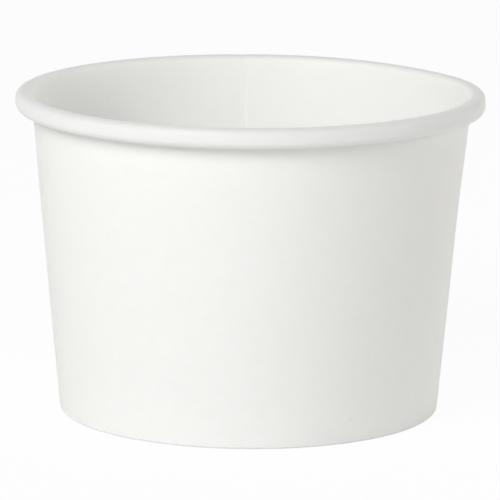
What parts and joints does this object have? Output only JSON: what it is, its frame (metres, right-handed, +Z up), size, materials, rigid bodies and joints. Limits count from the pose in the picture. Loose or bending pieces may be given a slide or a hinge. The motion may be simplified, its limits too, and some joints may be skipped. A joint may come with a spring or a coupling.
{
  "type": "soup cup",
  "caption": "White paper soup cup: tapered wrapped wall with a lapped side seam, rolled rim for a press-on lid, and a recessed base sealed into a turned-in hem.",
  "frame": {"origin": "on the table under the middle of the cup", "axes": "+Z up along the cup's axis; the side seam is at the back, at +Y; the camera of the picture looks from -Y"},
  "size_m": [0.09, 0.09, 0.0619],
  "materials": {
    "wall_board": "matte outside, satin coating inside",
    "base_board": "satin coating above, matte below"
  },
  "bodies": {
    "root": {"side_wall": "wall_board", "base_disc": "base_board"}
  },
  "joints": []
}
